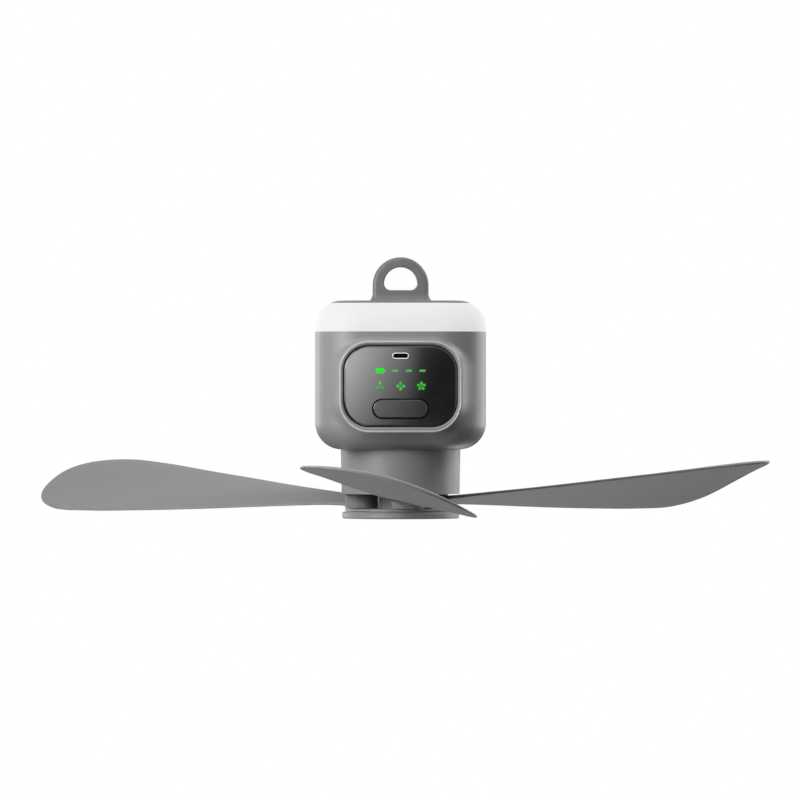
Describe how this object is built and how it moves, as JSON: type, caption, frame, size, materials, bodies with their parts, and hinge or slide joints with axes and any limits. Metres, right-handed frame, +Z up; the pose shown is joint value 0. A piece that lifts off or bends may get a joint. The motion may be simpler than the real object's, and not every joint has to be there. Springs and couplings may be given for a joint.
{
  "type": "hanging camping fan",
  "caption": "Hanging rechargeable camping fan: a rounded case with loop, lamp ring and control panel carries a motor neck and a rotor with swing-out blades.",
  "frame": {"origin": "top of the eye in the hanging loop, where a hook bears, midway through the loop's thickness", "axes": "+Z up along the rotor's axis, -Y out of the control panel, +X to the right as the panel is seen"},
  "size_m": [0.4102, 0.3716, 0.1443],
  "materials": {
    "case_grey": "fine-textured moulded plastic",
    "cap_grey": "fine-textured moulded plastic",
    "blade_grey": "satin moulded plastic",
    "lamp_white": "translucent white moulding",
    "panel_black": "polished smoked plastic",
    "button_black": "satin black plastic",
    "signal_green": "translucent green light guide",
    "board_green": "solder-masked board",
    "board_white": "white solder-masked board",
    "led_yellow": "phosphor lens",
    "port_steel": "nickel-plated",
    "switch_black": "plain moulded",
    "screw_steel": "zinc-plated",
    "cell_blue": "heat-shrunk sleeve over a battery cell",
    "tab_nickel": "nickel strip",
    "motor_alloy": "die cast",
    "stator_steel": "laminated sheet",
    "coil_copper": "enamelled copper wire",
    "can_steel": "drawn sheet",
    "magnet_grey": "plated magnet",
    "shaft_steel": "ground"
  },
  "bodies": {
    "case": {"top_cap": "cap_grey", "lamp_diffuser": "lamp_white", "lamp_leds": "led_yellow", "lamp_board": "board_white", "lamp_reflector": "board_white", "main_housing": "case_grey", "case_screws": "screw_steel", "control_panel": "panel_black", "battery_icons": "signal_green", "speed_icons": "signal_green", "port_shell": "port_steel", "port_tongue": "switch_black", "tact_switch": "switch_black", "indicator_leds": "board_white", "control_board": "board_green", "board_screws": "screw_steel", "battery_cells": "cell_blue", "battery_holder": "switch_black", "battery_tabs": "tab_nickel", "main_board": "board_green", "motor_shroud": "case_grey", "motor_screws": "screw_steel", "motor_base": "motor_alloy", "motor_bearings": "shaft_steel", "stator_core": "stator_steel", "stator_windings": "coil_copper"},
    "rotor": {"motor_shaft": "shaft_steel", "shaft_clip": "screw_steel", "motor_can": "can_steel", "rotor_magnets": "magnet_grey", "rotor_hub": "case_grey", "pivot_pins": "shaft_steel", "lower_plate": "case_grey", "rotor_screws": "screw_steel", "bottom_cover": "case_grey"},
    "blade_1": {"blade_1": "blade_grey"},
    "blade_2": {"blade_2": "blade_grey"},
    "blade_3": {"blade_3": "blade_grey"},
    "button": {"button_cap": "button_black"}
  },
  "joints": [
    {"name": "rotor_spin", "type": "hinge", "parent": "case", "child": "rotor", "pos_m": [0, 0, -0.1294], "axis": [0, 0, 1], "continuous": true},
    {"name": "blade_1_swing", "type": "hinge", "parent": "rotor", "child": "blade_1", "pos_m": [0.00433, -0.02228, -0.1294], "axis": [0, 0, 1], "range_deg": [0, 90]},
    {"name": "blade_2_swing", "type": "hinge", "parent": "rotor", "child": "blade_2", "pos_m": [0.01713, 0.01489, -0.1294], "axis": [0, 0, 1], "range_deg": [0, 90]},
    {"name": "blade_3_swing", "type": "hinge", "parent": "rotor", "child": "blade_3", "pos_m": [-0.02146, 0.00739, -0.1294], "axis": [0, 0, 1], "range_deg": [0, 90]},
    {"name": "button_press", "type": "slide", "parent": "case", "child": "button", "axis": [0, 1, 0], "range_m": [0, 0.0006], "stiffness_N_per_m": 2500}
  ]
}
